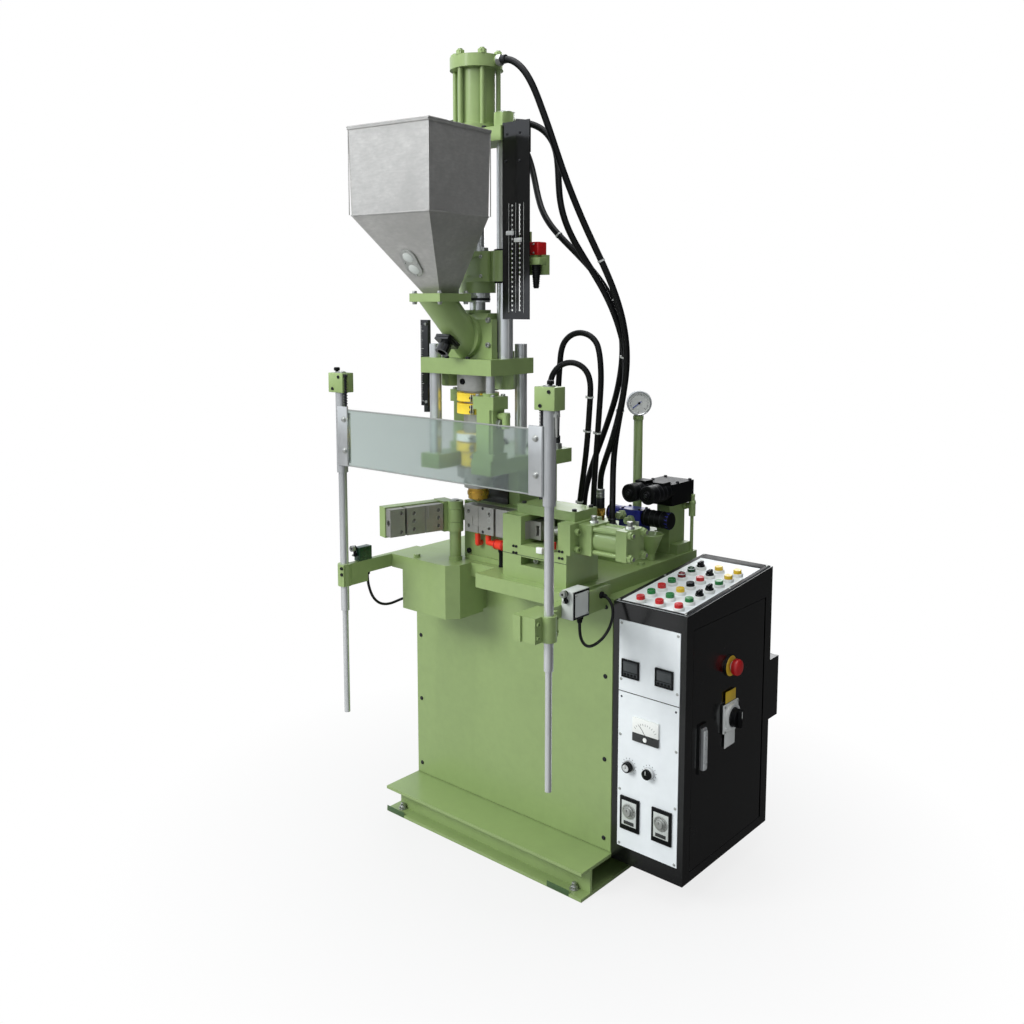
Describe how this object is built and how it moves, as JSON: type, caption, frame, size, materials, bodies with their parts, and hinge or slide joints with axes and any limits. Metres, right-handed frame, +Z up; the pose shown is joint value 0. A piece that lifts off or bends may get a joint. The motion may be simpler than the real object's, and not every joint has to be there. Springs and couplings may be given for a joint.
{
  "type": "injection moulding machine",
  "caption": "Vertical injection moulding machine with hopper, swing-open mould, horizontal lock ram, sliding front guard and separate control cabinet",
  "frame": {"origin": "on the floor under the injection axis", "axes": "+X to the operator's right, +Y away from the operator, +Z up along the injection axis"},
  "size_m": [1.017, 0.9919, 2.26],
  "materials": {
    "green_paint": "light green gloss machine paint",
    "steel": "ground steel",
    "chrome_rod": "hard chromed",
    "black_steel": "black",
    "white_panel": "white paint",
    "cream_paint": "cream paint",
    "blue_paint": "blue enamel",
    "yellow_paint": "yellow",
    "switch_plastic": "moulded plastic and cast housings",
    "black_plastic": "black plastic",
    "red_plastic": "red plastic",
    "clear_plastic": "clear greenish sheet",
    "hose_rubber": "black hose",
    "red_rubber": "red and black hose",
    "brass": "brass",
    "stainless": "folded stainless sheet"
  },
  "bodies": {
    "root": {"base_skid": "green_paint", "pedestal": "green_paint", "front_panel": "green_paint", "table": "green_paint", "guard_arms": "green_paint", "rear_column": "green_paint", "column_shield": "black_steel", "lower_platen": "green_paint", "lift_cylinders": "green_paint", "guide_rods": "chrome_rod", "mould_block": "green_paint", "fixed_mould_half": "steel", "hinge_post": "steel", "clamp_frame": "green_paint", "clamp_cylinder": "green_paint", "oil_manifold": "green_paint", "solenoid_valves": "black_steel", "directional_valve": "blue_paint", "oil_funnel": "green_paint", "pressure_gauge": "green_paint", "limit_switches": "switch_plastic", "cabinet_shell": "black_steel", "gear_plate": "cream_paint", "instrument_panel": "white_panel", "instruments": "black_plastic", "button_plate": "white_panel", "loop_hoses": "hose_rubber", "switch_cables": "hose_rubber", "coolant_fittings": "red_rubber"},
    "carriage": {"top_hoses": "hose_rubber", "mid_plate": "green_paint", "barrel": "steel", "heater_bands": "yellow_paint", "nozzle": "brass", "feed_block": "green_paint", "hopper_throat": "green_paint", "drain_spout": "black_steel", "hopper": "stainless", "injection_columns": "chrome_rod", "top_plate": "green_paint", "injection_cylinder": "green_paint", "scale_panel": "black_steel", "lift_rods": "chrome_rod", "stroke_scale_bar": "black_steel"},
    "crosshead": {"crosshead": "green_paint", "plunger": "chrome_rod", "position_sensor": "red_plastic"},
    "guard": {"guard_window": "clear_plastic", "guard_slides": "chrome_rod"},
    "mould_arm": {"mould_arm": "green_paint", "moving_mould_half": "steel"},
    "lock_ram": {"lock_ram": "steel"},
    "door": {"cabinet_door": "black_steel"},
    "door_handle": {"door_handle": "chrome_rod"},
    "emergency_stop": {"emergency_stop": "red_plastic"},
    "main_switch": {"main_switch": "black_plastic"},
    "left_knob": {"left_panel_knob": "black_plastic"},
    "right_knob": {"right_panel_knob": "black_plastic"},
    "left_lever": {"left_switch_lever": "black_plastic"},
    "right_lever": {"right_switch_lever": "black_plastic"}
  },
  "joints": [
    {"name": "carriage_slide", "type": "slide", "parent": "root", "child": "carriage", "axis": [0, 0, 1], "range_m": [-0.014, 0.03], "deforming": ["top_hoses"]},
    {"name": "crosshead_slide", "type": "slide", "parent": "carriage", "child": "crosshead", "axis": [0, 0, 1], "range_m": [-0.018, 0.07]},
    {"name": "guard_slide", "type": "slide", "parent": "root", "child": "guard", "axis": [0, 0, 1], "range_m": [-0.25, 0]},
    {"name": "mould_arm_swing", "type": "hinge", "parent": "root", "child": "mould_arm", "pos_m": [-0.092, 0, 0.97], "axis": [0, 0, 1], "range_deg": [0, 105]},
    {"name": "lock_ram_slide", "type": "slide", "parent": "root", "child": "lock_ram", "axis": [1, 0, 0], "range_m": [-0.032, 0]},
    {"name": "cabinet_door_hinge", "type": "hinge", "parent": "root", "child": "door", "pos_m": [0.634, 0.4965, 0.426], "axis": [0, 0, 1], "range_deg": [0, 95]},
    {"name": "door_handle_hinge", "type": "hinge", "parent": "door", "child": "door_handle", "pos_m": [0.64875, 0.161, 0.47575], "axis": [0, -1, 0], "range_deg": [0, 60]},
    {"name": "emergency_stop_press", "type": "slide", "parent": "door", "child": "emergency_stop", "axis": [1, 0, 0], "range_m": [-0.005, 0]},
    {"name": "main_switch_turn", "type": "hinge", "parent": "door", "child": "main_switch", "pos_m": [0.65, 0.303, 0.468], "axis": [1, 0, 0], "range_deg": [-90, 0]},
    {"name": "left_knob_turn", "type": "hinge", "parent": "root", "child": "left_knob", "pos_m": [0.475, 0.065, 0.352], "axis": [0, 1, 0], "range_deg": [-135, 135]},
    {"name": "right_knob_turn", "type": "hinge", "parent": "root", "child": "right_knob", "pos_m": [0.538, 0.065, 0.352], "axis": [0, 1, 0], "range_deg": [-135, 135]},
    {"name": "left_lever_turn", "type": "hinge", "parent": "root", "child": "left_lever", "pos_m": [-0.296, -0.208, 0.858], "axis": [0, 1, 0], "range_deg": [-20, 20], "stiffness_Nm_per_rad": 0.2},
    {"name": "right_lever_turn", "type": "hinge", "parent": "root", "child": "right_lever", "pos_m": [0.428, -0.146, 0.846], "axis": [0, 1, 0], "range_deg": [-20, 20], "stiffness_Nm_per_rad": 0.2}
  ]
}
